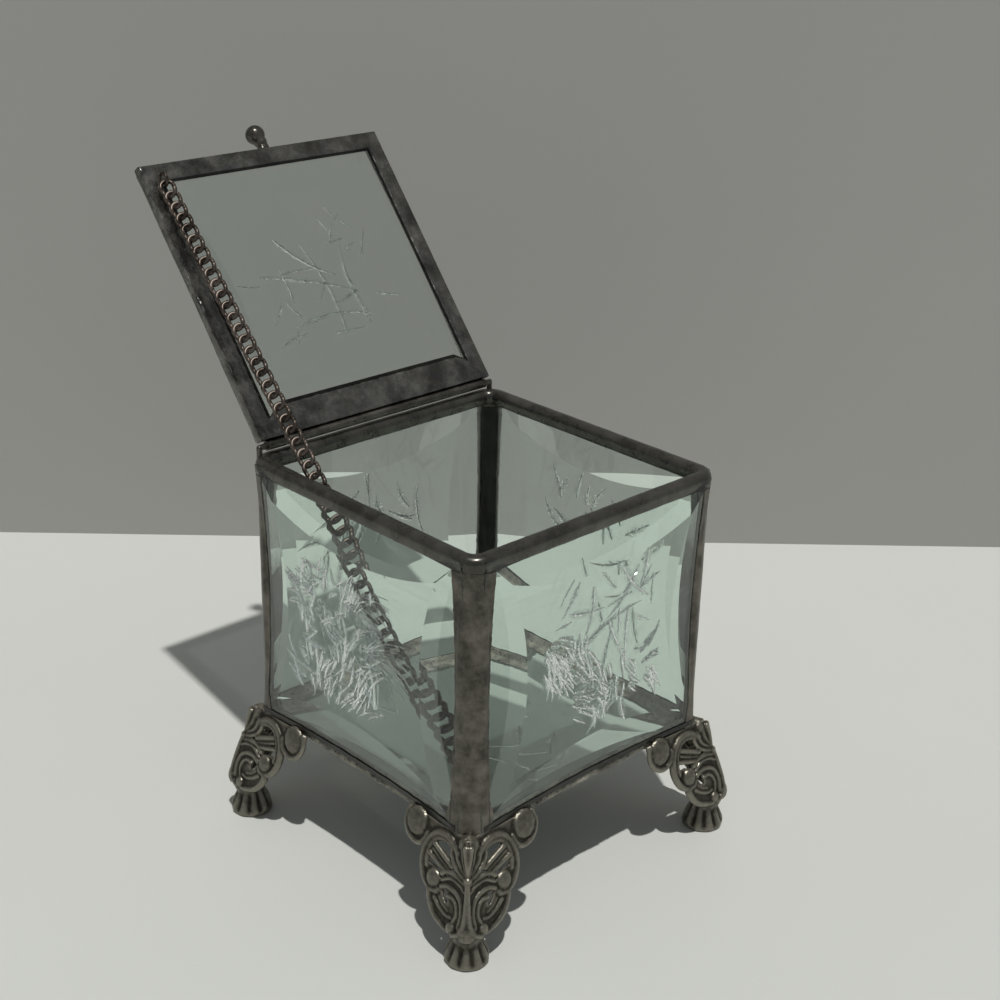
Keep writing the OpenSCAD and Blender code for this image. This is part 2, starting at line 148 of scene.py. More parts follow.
def pane_thickness(u, v, w, h):
    """Glass left by the wheel at a point of the pane, measured from its middle."""
    top = np.full(np.shape(u), glass_t)
    for length, along, across, reach in ((w, u, v, h / 2), (h, v, u, w / 2)):
        arc = (length * length / 4 + bevel_sag ** 2) / (2 * bevel_sag)
        for side in (-1, 1):
            away = np.hypot(along, across - side * (reach + arc - bevel_w))
            top = np.minimum(top, glass_t - bevel_slope * np.clip(arc - away, 0, None))
    return top


def star_pane(w, h, feathers, cells):
    """A pane lying flat, star side up: points in mm, faces and how chipped each point is."""
    half = np.array([w / 2, h / 2])
    arc = [(s * s / 4 + bevel_sag ** 2) / (2 * bevel_sag) for s in (w, h)]

    def thickness(p):
        return pane_thickness(p[:, 0], p[:, 1], w, h)

    tip = half - 5.0
    for _ in range(60):
        tip = np.array([half[0] + arc[1] - bevel_w - math.sqrt(arc[1] ** 2 - tip[1] ** 2),
                        half[1] + arc[0] - bevel_w - math.sqrt(arc[0] ** 2 - tip[0] ** 2)])
    n = cells
    share = np.linspace(-1, 1, n + 1)

    def arc_points(axis):
        turn = share * math.asin(tip[axis] / arc[axis])
        other = 1 - axis
        along = arc[axis] * np.sin(turn)
        inward = half[other] + arc[axis] - bevel_w - arc[axis] * np.cos(turn)
        return along, inward

    low_u, low_v = arc_points(0)
    side_v, side_u = arc_points(1)
    s, t = np.meshgrid(share, share, indexing="ij")
    grid_u = low_u[:, None] * np.ones_like(t) + (side_u[None, :] - tip[0]) * s
    grid_v = side_v[None, :] * np.ones_like(s) + (low_v[:, None] - tip[1]) * t
    flat = np.stack([grid_u.ravel(), grid_v.ravel()], 1)
    dip, torn = feather_relief(flat, feathers)
    rim = np.minimum(1 - np.abs(s), 1 - np.abs(t)).ravel()
    dip = dip * np.clip(rim * 14, 0, 1)
    torn = torn * np.clip(rim * 14, 0, 1)
    points = [np.column_stack([flat, glass_t - 0.4 * dip])]
    chipped = [torn]
    at = np.arange((n + 1) ** 2).reshape(n + 1, n + 1)
    quads = [np.stack([at[:-1, :-1], at[1:, :-1], at[1:, 1:], at[:-1, 1:]], -1).reshape(-1, 4)]
    count = (n + 1) ** 2
    rims = [at[:, 0], at[-1, :], at[::-1, -1], at[0, ::-1]]
    foot = []
    for k, rim_at in enumerate(rims):
        axis = k % 2
        inner = flat[rim_at]
        outer = inner.copy()
        outer[:, axis] *= half[axis] / tip[axis]
        outer[:, 1 - axis] = half[1 - axis] * (-1 if k in (0, 3) else 1)
        rows = [rim_at]
        for step in range(1, 9):
            p = inner + (outer - inner) * (step / 8)
            points.append(np.column_stack([p, thickness(p)]))
            chipped.append(np.zeros(len(p)))
            rows.append(np.arange(count, count + n + 1))
            count += n + 1
        points.append(np.column_stack([outer, np.zeros(len(outer))]))
        chipped.append(np.zeros(len(outer)))
        rows.append(np.arange(count, count + n + 1))
        count += n + 1
        foot.append(rows[-1])
        for a, b in zip(rows[:-1], rows[1:]):
            quads.append(np.stack([a[:-1], b[:-1], b[1:], a[1:]], -1))
    faces = np.concatenate(quads).tolist()
    under = [i for row in foot for i in row[:-1].tolist()]
    faces.append(under[::-1])
    return np.concatenate(points), faces, np.concatenate(chipped)


def feather_relief(p, feathers):
    """Depth in mm and strength of the chipping: later feathers lie over earlier ones."""
    dip, torn = np.zeros(len(p)), np.zeros(len(p))
    for u0, v0, heading, length, curl, spread, pitch, deep in feathers:
        heading = math.radians(heading)
        bend = curl if abs(curl) > 1e-4 else 1e-4
        ahead_u, ahead_v = math.cos(heading), math.sin(heading)
        mid = np.array([u0 - ahead_v / bend, v0 + ahead_u / bend])
        rel = p - mid
        away = np.hypot(rel[:, 0], rel[:, 1])
        start = np.array([u0, v0]) - mid
        turn = np.arctan2(start[0] * rel[:, 1] - start[1] * rel[:, 0], rel @ start)
        along = turn / bend
        aside = np.abs(away - abs(1 / bend))
        run = np.clip(along / length, 0, 1)
        width = spread * np.sin(np.pi * run ** 0.75) ** 0.7 + 1e-6
        barb = (along - aside * 1.25) / pitch
        inside = (along > 0) & (along < length) & (aside < width * (0.72 + 0.28 * np.abs(
            (barb * 0.5) % 1.0 * 2 - 1)))
        saw = barb % 1.0
        depth = deep * (0.15 + 0.85 * (1 - saw)) * np.clip(aside / 0.4, 0.1, 1) \
            * np.clip((1 - aside / width) * 2.5, 0, 1) ** 0.6
        dip = np.where(inside, depth, dip)
        torn = np.where(inside, np.clip(0.35 + 0.65 * (1 - saw) - 0.3 * run, 0, 1), torn)
    return dip, torn


def fan(rng, u, v, middle, opening, count, reach, spread, pitch=0.95, deep=0.34, curl=0.03):
    """Feathers spreading from one root, as the glue tears them."""
    made = []
    for k in range(count):
        heading = middle + opening * ((k + 0.5) / count - 0.5) + rng.uniform(-4, 4)
        made.append((u + rng.uniform(-1, 1), v + rng.uniform(-1, 1), heading,
                     reach * rng.uniform(0.7, 1.15), rng.uniform(-curl, curl),
                     spread * rng.uniform(0.75, 1.2), pitch * rng.uniform(0.8, 1.2),
                     deep * rng.uniform(0.7, 1.2)))
    return made


def sprigs(rng, count, span_u, span_v, middle_u, middle_v, reach, spread):
    """Single thin ferns scattered over part of a pane."""
    return [(middle_u + rng.uniform(-span_u, span_u), middle_v + rng.uniform(-span_v, span_v),
             rng.uniform(0, 360), reach * rng.uniform(0.5, 1.3), rng.uniform(-0.05, 0.05),
             spread * rng.uniform(0.6, 1.2), rng.uniform(0.8, 1.3), 0.10) for _ in range(count)]


def wall_place(turn):
    spin = Matrix.Rotation(math.radians(90 * turn), 4, "Z")
    stand = Matrix(((-1, 0, 0, 0), (0, 0, 1, inner_half), (0, 1, 0, wall_z + wall_h / 2), (0, 0, 0, 1)))
    return spin @ stand


def opened():
    """From the closed lid to the open one, about the hinge pin."""
    pin = Matrix.Translation((0, hinge_y, hinge_z))
    return pin @ Matrix.Rotation(-lid_open, 4, "X") @ pin.inverted()


def add_mesh(name, points, faces, mat, sharp=None):
    """A finished piece at the origin, with its place (in mm) in its mesh."""
    mesh = bpy.data.meshes.new(name)
    mesh.from_pydata((np.asarray(points, float) * MM).tolist(), [], faces)
    mesh.materials.append(mat)
    mesh.validate()
    mesh.polygons.foreach_set("use_smooth", [True] * len(mesh.polygons))
    if sharp is not None:
        mesh.set_sharp_from_angle(angle=math.radians(sharp))
    obj = bpy.data.objects.new(name, mesh)
    bpy.context.collection.objects.link(obj)
    return obj


def placed(points, place):
    m = np.array(place, float)
    return np.asarray(points) @ m[:3, :3].T + m[:3, 3]


def glass_material(name, tint, through):
    """Green float glass: clear where ground and polished, whitened where it is chipped."""
    mat = bpy.data.materials.new(name)
    mat.use_nodes = True
    tree = mat.node_tree
    nodes_, links = tree.nodes, tree.links
    clear = nodes_["Principled BSDF"]
    clear.inputs["Base Color"].default_value = (*tint, 1)
    clear.inputs["Transmission Weight"].default_value = 1
    clear.inputs["IOR"].default_value = 1.5
    torn = nodes_.new("ShaderNodeAttribute")
    torn.attribute_name = "torn"
    coords = nodes_.new("ShaderNodeTexCoord")
    fine = nodes_.new("ShaderNodeTexNoise")
    fine.inputs["Scale"].default_value = 900
    fine.inputs["Detail"].default_value = 4
    links.new(coords.outputs["Object"], fine.inputs["Vector"])
    frosted = nodes_.new("ShaderNodeMath")
    frosted.operation = "MULTIPLY"
    frosted.inputs[1].default_value = 0.12
    links.new(torn.outputs["Fac"], frosted.inputs[0])
    links.new(frosted.outputs["Value"], clear.inputs["Roughness"])
    bump = nodes_.new("ShaderNodeBump")
    bump.inputs["Strength"].default_value = 0.25
    bump.inputs["Distance"].default_value = 0.0001
    grain = nodes_.new("ShaderNodeMath")
    grain.operation = "MULTIPLY"
    links.new(fine.outputs["Fac"], grain.inputs[0])
    links.new(torn.outputs["Fac"], grain.inputs[1])
    links.new(grain.outputs["Value"], bump.inputs["Height"])
    links.new(bump.outputs["Normal"], clear.inputs["Normal"])
    white = nodes_.new("ShaderNodeBsdfPrincipled")
    white.inputs["Base Color"].default_value = (0.60, 0.73, 0.66, 1)
    white.inputs["Roughness"].default_value = 0.45
    white.inputs["Transmission Weight"].default_value = 0.35
    amount = nodes_.new("ShaderNodeMath")
    amount.operation = "MULTIPLY"
    amount.inputs[1].default_value = 0.16
    links.new(torn.outputs["Fac"], amount.inputs[0])
    haze = nodes_.new("ShaderNodeAttribute")
    haze.attribute_name = "haze"
    dusty = nodes_.new("ShaderNodeMath")
    links.new(amount.outputs["Value"], dusty.inputs[0])
    links.new(haze.outputs["Fac"], dusty.inputs[1])
    chip = nodes_.new("ShaderNodeMixShader")
    links.new(dusty.outputs["Value"], chip.inputs["Fac"])
    links.new(clear.outputs["BSDF"], chip.inputs[1])
    links.new(white.outputs["BSDF"], chip.inputs[2])
    passing = nodes_.new("ShaderNodeBsdfTransparent")
    passing.inputs["Color"].default_value = (*through, 1)
    ray = nodes_.new("ShaderNodeLightPath")
    light = nodes_.new("ShaderNodeMixShader")
    unseen = nodes_.new("ShaderNodeMath")
    unseen.operation = "MAXIMUM"
    links.new(ray.outputs["Is Shadow Ray"], unseen.inputs[0])
    links.new(ray.outputs["Is Diffuse Ray"], unseen.inputs[1])
    links.new(unseen.outputs["Value"], light.inputs["Fac"])
    links.new(chip.outputs["Shader"], light.inputs[1])
    links.new(passing.outputs["BSDF"], light.inputs[2])
    links.new(light.outputs["Shader"], nodes_["Material Output"].inputs["Surface"])
    return mat


glass = glass_material("frosted_glass", (0.82, 0.905, 0.86), (0.13, 0.15, 0.14))
lid_glass = glass_material("frosted_lid_glass", (0.86, 0.92, 0.89), (0.20, 0.22, 0.21))
def barbs(rng, feathers, w, h):
    """Thin splinters standing along both sides of every feather, each a closed tapering blade."""
    points, faces = [], []

    def blade(x, y, heading, length, wide, bend):
        x2 = x + math.cos(heading + bend) * length
        y2 = y + math.sin(heading + bend) * length
        if float(pane_thickness(np.array(x2), np.array(y2), w, h)) < glass_t - 0.01:
            return
        start = len(points)
        for part, thick in ((0, 0.75), (0.4, 1.0), (1, 0.06)):
            turn = heading + bend * part
            px, py = x + math.cos(turn) * length * part, y + math.sin(turn) * length * part
            nx, ny = -math.sin(turn) * wide * thick / 2, math.cos(turn) * wide * thick / 2
            points.extend([(px + nx, py + ny, glass_t - 0.2), (px - nx, py - ny, glass_t - 0.2),
                           (px - nx, py - ny, glass_t + 0.02), (px + nx, py + ny, glass_t + 0.02 + 0.14 * thick)])
        for k in (0, 4):
            for j in range(4):
                faces.append([start + k + j, start + k + (j + 1) % 4, start + k + 4 + (j + 1) % 4, start + k + 4 + j])
        faces.extend([[start + 3, start + 2, start + 1, start], [start + 8, start + 9, start + 10, start + 11]])

    for u0, v0, heading, length, curl, spread, pitch, _ in feathers:
        first, s_ = math.radians(heading), 0.2
        bend = curl if abs(curl) > 1e-3 else 1e-3
        while s_ < length:
            now = first + bend * s_
            x, y = u0 + (math.sin(now) - math.sin(first)) / bend, v0 - (math.cos(now) - math.cos(first)) / bend
            reach = spread * math.sin(math.pi * (s_ / length) ** 0.6) ** 0.7
            for way in (-1, 1) if spread > 0.5 else ():
                blade(x, y, now + way * math.radians(rng.uniform(18, 55)), reach * rng.uniform(0.4, 1.2) + 0.2,
                      rng.uniform(0.06, 0.17), -way * rng.uniform(0.0, 0.5))
            blade(x, y, now + rng.uniform(-0.08, 0.08), pitch * rng.uniform(0.6, 1.6), rng.uniform(0.08, 0.15), 0)
            s_ += pitch * rng.uniform(0.4, 0.8)
    return points, faces


def frost_material(name):
    """Freshly torn glass: bright, half clear, half white."""
    mat = bpy.data.materials.new(name)
    mat.use_nodes = True
    shader = mat.node_tree.nodes["Principled BSDF"]
    shader.inputs["Base Color"].default_value = (0.90, 0.95, 0.925, 1)
    shader.inputs["Roughness"].default_value = 0.06
    shader.inputs["Transmission Weight"].default_value = 0.95
    shader.inputs["IOR"].default_value = 1.5
    return mat


torn_glass = frost_material("torn_glass")
def drift(rng, count, low, high, reach, spread, pitch, swirl, seed):
    """Small feathers that follow a slowly turning grain over a patch of the pane."""
    made = []
    for _ in range(count):
        u, v = rng.uniform(low[0], high[0]), rng.uniform(low[1], high[1])
        heading = swirl[0] + swirl[1] * noise.noise(Vector((u / 11, v / 11, seed))) + rng.uniform(-14, 14)
        made.append((u, v, heading, reach * rng.uniform(0.5, 1.3), rng.uniform(-0.09, 0.09),
                     spread * rng.uniform(0.6, 1.3), pitch, 0.25 * rng.uniform(0.5, 1.3)))
    return made


def silk(rng, u, v, middle, opening, count, reach, curl):
    """Long bare threads of glass torn from one root and all curling one way."""
    return [(u + rng.uniform(-0.6, 0.6), v + rng.uniform(-0.6, 0.6), middle + opening * (k / count - 0.5),
             reach * rng.uniform(0.7, 1.1), curl * rng.uniform(0.6, 1.3), 0.4, 1.3, 0.12) for k in range(count)]


rng = random.Random(7)
frost = {
    "front_pane": drift(rng, 60, (-20, -3), (-4, 9), 6, 1.2, 0.7, (-50, 130), 3)
    + drift(rng, 70, (-10, -15), (20, -2), 6, 1.2, 0.7, (-40, 150), 4)
    + silk(rng, -17, 6, -55, 70, 16, 9, 0.04)
    + [(-10, 2, 32, 24, -0.02, 1.5, 0.8, 0.2), (2, 8, -70, 15, 0.02, 1.3, 0.8, 0.2),
       (9, 10, -100, 17, 0.02, 1.3, 0.8, 0.2), (-4, 19, -80, 14, -0.05, 1.5, 0.8, 0.2),
       (6, 21, -60, 15, 0.03, 1.7, 0.8, 0.2), (0, -6, 75, 13, 0, 1.2, 0.9, 0.2),
       (12, 20, -115, 15, -0.04, 1.5, 0.8, 0.2), (-12, 14, -20, 12, 0.03, 1.3, 0.8, 0.2)]
    + sprigs(rng, 12, 17, 10, 3, 13, 8, 1.3),
    "left_pane": drift(rng, 190, (-21, -20), (8, 13), 6, 1.1, 0.7, (70, 260), 1)
    + silk(rng, -2, 10, 10, 95, 26, 17, -0.06) + silk(rng, 6, 0, 20, 80, 22, 15, -0.05)
    + silk(rng, -8, -10, -80, 120, 24, 10, 0.08) + silk(rng, -14, 8, 140, 120, 18, 9, 0.07)
    + silk(rng, 9, -14, 105, 60, 20, 13, 0.05) + sprigs(rng, 8, 18, 16, 0, 0, 9, 1.5),
    "back_pane": drift(rng, 14, (-18, -10), (16, 10), 9, 1.6, 0.9, (70, 150), 5) + sprigs(rng, 8, 18, 14, 0, 4, 12, 1.6),
    "right_pane": drift(rng, 14, (-16, -4), (18, 16), 9, 1.6, 0.9, (80, 150), 6) + sprigs(rng, 8, 18, 16, 0, 2, 12, 1.6),
    "floor_pane": sprigs(rng, 14, 18, 18, 0, 0, 12, 1.6),
    "lid_pane": [(-17, -4, 10, 30, 0.01, 1.2, 0.9, 0.2), (-12, 12, -20, 24, 0.03, 1.2, 0.9, 0.2),
                 (2, 16, -80, 26, -0.02, 1.2, 0.9, 0.2), (12, 14, -110, 24, 0.03, 1.2, 0.9, 0.2),
                 (-8, -14, 60, 20, -0.03, 1.2, 0.9, 0.2)] + sprigs(rng, 20, 19, 16, 0, 2, 8, 0.9),
}
for name, feathers in frost.items():
    if name == "lid_pane":
        place = opened() @ Matrix.Translation((0, -0.4, 71.9))
        size, body, mat = (pane_side, pane_side), "lid", lid_glass
    elif name == "floor_pane":
        place = Matrix.Rotation(math.pi, 4, "X")
        size, body, mat = (pane_side, pane_side), "box", glass
    else:
        place = wall_place(["back_pane", "left_pane", "front_pane", "right_pane"].index(name))
        size, body, mat = (pane_side, wall_h), "box", glass
    points, faces, torn = star_pane(*size, feathers, 290 if name in ("front_pane", "left_pane") else 190)
    obj = add_mesh("cut_" + name, placed(points, place), faces, mat)
    layer = obj.data.attributes.new("torn", "FLOAT", "POINT")
    layer.data.foreach_set("value", torn.astype(np.float32))
    work = bmesh.new()
    work.from_mesh(obj.data)
    bmesh.ops.remove_doubles(work, verts=work.verts, dist=1e-6)
    work.to_mesh(obj.data)
    work.free()
    obj.data.set_sharp_from_angle(angle=math.radians(8))
    if name == "floor_pane":
        obj.data.attributes.new("haze", "FLOAT", "POINT")
        obj.data.attributes["haze"].data.foreach_set("value", np.full(len(obj.data.vertices), 0.13, np.float32))
    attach(obj, body)
    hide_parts(name)
    points, faces = barbs(rng, feathers, *size)
    obj = add_mesh("barbs_" + name, placed(points, place), faces, torn_glass, sharp=20)
    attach(obj, body)

# ---------------------------------------------------------------------------
# Corner and base seams: copper foil folded round the glass edges, flooded with
# tin-lead solder and darkened with patina, which has gone cloudy and pitted.


def solder_material(name, dark, pale, rough_low, rough_high, lumps, metal=0.75, pitted=0.28):
    mat = bpy.data.materials.new(name)
    mat.use_nodes = True
    tree = mat.node_tree
    nodes_, links = tree.nodes, tree.links
    shader = nodes_["Principled BSDF"]
    shader.inputs["Metallic"].default_value = metal
    coords = nodes_.new("ShaderNodeTexCoord")
    cloud = nodes_.new("ShaderNodeTexNoise")
    cloud.inputs["Scale"].default_value = 160
    cloud.inputs["Detail"].default_value = 6
    cloud.inputs["Roughness"].default_value = 0.65
    pits = nodes_.new("ShaderNodeTexVoronoi")
    pits.inputs["Scale"].default_value = 700
    swell = nodes_.new("ShaderNodeTexNoise")
    swell.inputs["Scale"].default_value = 260
    swell.inputs["Detail"].default_value = 3
    for tex in (cloud, pits, swell):
        links.new(coords.outputs["Object"], tex.inputs["Vector"])
    ramp = nodes_.new("ShaderNodeValToRGB")
    ramp.color_ramp.elements[0].position = 0.36
    ramp.color_ramp.elements[0].color = (*dark, 1)
    ramp.color_ramp.elements[1].position = 0.66
    ramp.color_ramp.elements[1].color = (*pale, 1)
    links.new(cloud.outputs["Fac"], ramp.inputs["Fac"])
    hole = nodes_.new("ShaderNodeMapRange")
    hole.inputs["From Min"].default_value = pitted * 0.35
    hole.inputs["From Max"].default_value = pitted
    links.new(pits.outputs["Distance"], hole.inputs["Value"])
    tint = nodes_.new("ShaderNodeMix")
    tint.data_type = "RGBA"
    tint.inputs["A"].default_value = (*[c * 0.35 for c in dark], 1)
    links.new(hole.outputs["Result"], tint.inputs["Factor"])
    links.new(ramp.outputs["Color"], tint.inputs["B"])
    links.new(tint.outputs["Result"], shader.inputs["Base Color"])
    rough = nodes_.new("ShaderNodeMapRange")
    rough.inputs["From Min"].default_value = 0.3
    rough.inputs["From Max"].default_value = 0.7
    rough.inputs["To Min"].default_value = rough_low
    rough.inputs["To Max"].default_value = rough_high
    links.new(cloud.outputs["Fac"], rough.inputs["Value"])
    links.new(rough.outputs["Result"], shader.inputs["Roughness"])
    coarse = nodes_.new("ShaderNodeBump")
    coarse.inputs["Strength"].default_value = lumps
    coarse.inputs["Distance"].default_value = 0.0006
    links.new(swell.outputs["Fac"], coarse.inputs["Height"])
    small = nodes_.new("ShaderNodeBump")
    small.inputs["Strength"].default_value = 0.5
    small.inputs["Distance"].default_value = 0.0001
    links.new(hole.outputs["Result"], small.inputs["Height"])
    links.new(coarse.outputs["Normal"], small.inputs["Normal"])
    links.new(small.outputs["Normal"], shader.inputs["Normal"])
    return mat


def sweep(name, rings, mat, closed=False, sharp=None):
    """A closed skin over rings of points in mm; open runs get flat ends."""
    count, size = len(rings), len(rings[0])
    faces = []
    for k in range(count if closed else count - 1):
        for j in range(size):
            faces.append((k * size + j, k * size + (j + 1) % size,
                          (k + 1) % count * size + (j + 1) % size, (k + 1) % count * size + j))
    if not closed:
        faces += [tuple(range(size))[::-1], tuple(range((count - 1) * size, count * size))]
    obj = add_mesh(name, np.concatenate(rings), faces, mat)
    work = bmesh.new()
    work.from_mesh(obj.data)
    bmesh.ops.recalc_face_normals(work, faces=work.faces)
    work.to_mesh(obj.data)
    work.free()
    if sharp:
        obj.data.set_sharp_from_angle(angle=math.radians(sharp))
    return obj


def lump(x, y, z, seed):
    """Soft unevenness between -1 and 1, in mm coordinates."""
    return noise.noise(Vector((x, y, z + 31.7 * seed)))


def turned(points, quarter):
    a = math.radians(90 * quarter)
    spin = np.array([[math.cos(a), -math.sin(a), 0], [math.sin(a), math.cos(a), 0], [0, 0, 1]])
    return np.asarray(points, float) @ spin.T


foil_w, foil_t = 2.7, 0.24
foil_black = solder_material("foil_black", (0.012, 0.012, 0.011), (0.035, 0.034, 0.03), 0.12, 0.3, 0.2, pitted=0.05)


def corner_ring(z, seed):
    """Section of an upright corner joint at height z, for the corner at +X +Y."""
    def glass_at(inset):
        return float(pane_thickness(pane_side / 2 - inset, z - 35.2, pane_side, wall_h))

    blob = math.exp(-((z - 2.5) / 5.0) ** 2)
    edge = foil_w + 0.22 * lump(0, 0, z / 3.1, seed) + 0.16 * lump(0, 3, z / 0.9, seed)
    side = [(38.1 - edge, 38.3 + glass_at(edge) - 0.05), (38.1 - edge + 0.12, 38.3 + glass_at(edge) + 0.18),
            (38.1 - edge * 0.85, 38.3 + glass_at(edge * 0.85) + foil_t)]
    bead = 3.8 + blob * 1.5
    arc = []
    for k in range(19):
        a = math.radians(128 - 166 * k / 18)
        r = min(bead * (1 + 0.028 * lump(math.cos(a) * 1.5, math.sin(a) * 1.5, z / 5.5, seed)
                        + 0.012 * lump(math.cos(a) * 6, math.sin(a) * 6, z / 1.6, seed + 3)), 5.6)
        out, across = 0.62 * r * abs(math.cos(a - math.pi / 4)) ** 0.8, r * math.sin(a - math.pi / 4)
        middle = 38.35 - 0.5 * blob
        x, y = middle + (out - across) * 0.7071, middle + (out + across) * 0.7071
        if x < 38.1:
            y = max(y, 38.3 + glass_at(38.1 - x) + foil_t * 0.5)
        if y < 38.1:
            x = max(x, 38.3 + glass_at(38.1 - y) + foil_t * 0.5)
        arc.append((min(x, 43.2), min(y, 43.2)))
    inner_edge = 2.6 + 0.25 * lump(5, 0, z / 2.4, seed)
    hollow = 0.25 * lump(9, 2, z / 4.0, seed)
    inner = [(38.3, 38.1 - inner_edge), (38.12, 38.1 - inner_edge + 0.1), (37.95, 35.9),
             (37.0 + hollow, 36.6 + hollow), (36.6 + hollow, 37.0 + hollow), (35.9, 37.95),
             (38.1 - inner_edge + 0.1, 38.12), (38.1 - inner_edge, 38.3)]
    loop = side + arc + [(y, x) for x, y in side[::-1]] + inner
    return [(x, y, z) for x, y in loop]


seam_solder = solder_material("seam_solder", (0.052, 0.048, 0.039), (0.185, 0.172, 0.145), 0.28, 0.50, 0.25,
                              pitted=0.07)
for quarter, corner in enumerate(("back_right", "back_left", "front_left", "front_right")):
    rings = [turned(corner_ring(z, quarter), quarter) for z in np.linspace(-0.6, 67.6, 228)]
    obj = sweep("bead_" + corner, rings, seam_solder, sharp=55)
    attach(obj, "box")
    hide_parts("corner_seam_" + corner)
    rings = []
    for z in np.linspace(0.3, 67.3, 120):
        w = 2.7 + 0.25 * lump(5, 0, z / 2.4, quarter)
        face = [(38.26, 38.0 - w), (37.7, 35.8), (36.7, 36.35), (36.35, 36.7), (35.8, 37.7), (38.0 - w, 38.26)]
        rings.append(turned([(x, y, z) for x, y in face + [(38.5, 38.5)]], quarter))
    obj = sweep("foil_inside_" + corner, rings, foil_black, sharp=50)
    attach(obj, "box")


def base_ring(x, seed):
    """Section of the joint between the back wall and the floor, at x along it."""
    def wall_glass(rise):
        return float(pane_thickness(x, rise - wall_h / 2, pane_side, wall_h))

    def floor_glass(inset):
        return float(pane_thickness(x, pane_side / 2 - inset, pane_side, pane_side))

    rise = 0.6 + 0.15 * lump(x / 3.5, 0, 0, seed) + 0.1 * lump(x / 0.9, 4, 0, seed)
    inset = 2.2 + 0.5 * lump(x / 3.0, 8, 0, seed) + 0.3 * lump(x / 0.8, 9, 0, seed)
    outer = [(38.3 + wall_glass(rise) - 0.05, wall_z + rise), (38.3 + wall_glass(rise) + 0.2, wall_z + rise - 0.1),
             (38.3 + wall_glass(rise * 0.6) + foil_t, wall_z + rise * 0.6)]
    arc = []
    for k in range(13):
        a = math.radians(62 - 142 * k / 12)
        r = 1.3 + 0.30 * lump(x / 3.4, math.cos(a), math.sin(a), seed + 5) \
            + 0.30 * lump(x / 0.8, 2 * math.cos(a), 2 * math.sin(a), seed + 6)
        y, z = 39.3 + r * math.cos(a), -0.95 + r * math.sin(a)
        if z > wall_z:
            y = max(y, 38.3 + wall_glass(z - wall_z) + foil_t)
        arc.append((min(y, 43.2), z))
    under = -floor_glass(inset)
    lower = [(38.1 - inset * 0.5, min(-floor_glass(inset * 0.5) - foil_t, arc[-1][1] + 0.4)),
             (38.1 - inset + 0.1, under - 0.2), (38.1 - inset, under + 0.05)]
    inner = [(35.4, -0.02), (35.5, 0.13), (37.3, 0.3), (37.9, 0.9), (38.14, 2.4), (38.3, 2.5)]
    return [(x, y, z) for y, z in outer + arc + lower + inner]


crust_solder = solder_material("crust_solder", (0.075, 0.072, 0.060), (0.42, 0.405, 0.34), 0.45, 0.75, 1.0, 0.5)
for quarter, side in enumerate(("back", "left", "front", "right")):
    rings = [turned(base_ring(x, 11 + quarter), quarter) for x in np.linspace(-37.6, 37.6, 300)]
    obj = sweep("base_bead_" + side, rings, crust_solder, sharp=60)
    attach(obj, "box")
    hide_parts("base_seam_" + side)
    rings = []
    for x in np.linspace(-37.6, 37.6, 120):
        top = 1.7 + 0.2 * lump(x / 3.0, 7, 0, 14 + quarter)
        out = [38.3 + float(pane_thickness(x, z - wall_h / 2, pane_side, wall_h)) for z in (0.3, top)]
        rings.append(turned([(x, out[0] - 0.1, 0.3), (x, out[0] + 0.3, 0.3), (x, out[1] + 0.26, wall_z + top - 0.2),
                             (x, out[1] - 0.1, wall_z + top)], quarter))
    obj = sweep("foil_line_" + side, rings, foil_black, sharp=30)
    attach(obj, "box")

# ---------------------------------------------------------------------------
# Top rails: the rims of the walls, tinned into one smooth rounded rail of solder
# that runs round the four corners.
rail_solder = solder_material("rail_solder", (0.060, 0.058, 0.050), (0.125, 0.121, 0.108), 0.22, 0.36, 0.15, 0.8, 0.05)
rail_mid, rail_r, rail_bend = 39.95, 2.25, 3.9
track = []
for quarter in range(4):
    reach = rail_mid - rail_bend
    for k in range(70):
        track.append((quarter, (reach - 2 * reach * k / 70, rail_mid), (0.0, 1.0)))
    for k in range(14):
        a = math.pi / 2 + math.pi / 2 * k / 14
        track.append((quarter, (-reach + rail_bend * math.cos(a), reach + rail_bend * math.sin(a)),
                      (math.cos(a), math.sin(a))))
rings = []
for k, (quarter, (x, y), (nx, ny)) in enumerate(track):
    ring = []
    for j in range(24):
        a = 2 * math.pi * j / 24
        out, rise = math.cos(a), math.sin(a)
        out = math.copysign(abs(out) ** (0.85 if rise > 0 else 0.45), out)
        rise = rise if rise > 0 else -0.92 * abs(rise) ** 0.45
        px, py = x + nx * out * rail_r, y + ny * out * rail_r
        thin = 0.10 + 0.08 * lump(px / 6, py / 6, rise, 20 + quarter) + 0.03 * lump(px / 1.8, py / 1.8, rise * 2, 21)
        ring.append((x + nx * out * (rail_r - thin), y + ny * out * (rail_r - thin),
                     69.25 + rise * (rail_r - thin)))
    rings.append(turned(ring, quarter))
obj = sweep("rail_round_top", rings, rail_solder, closed=True)
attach(obj, "box")
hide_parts("top_rail_front", "top_rail_right", "top_rail_back", "top_rail_left")

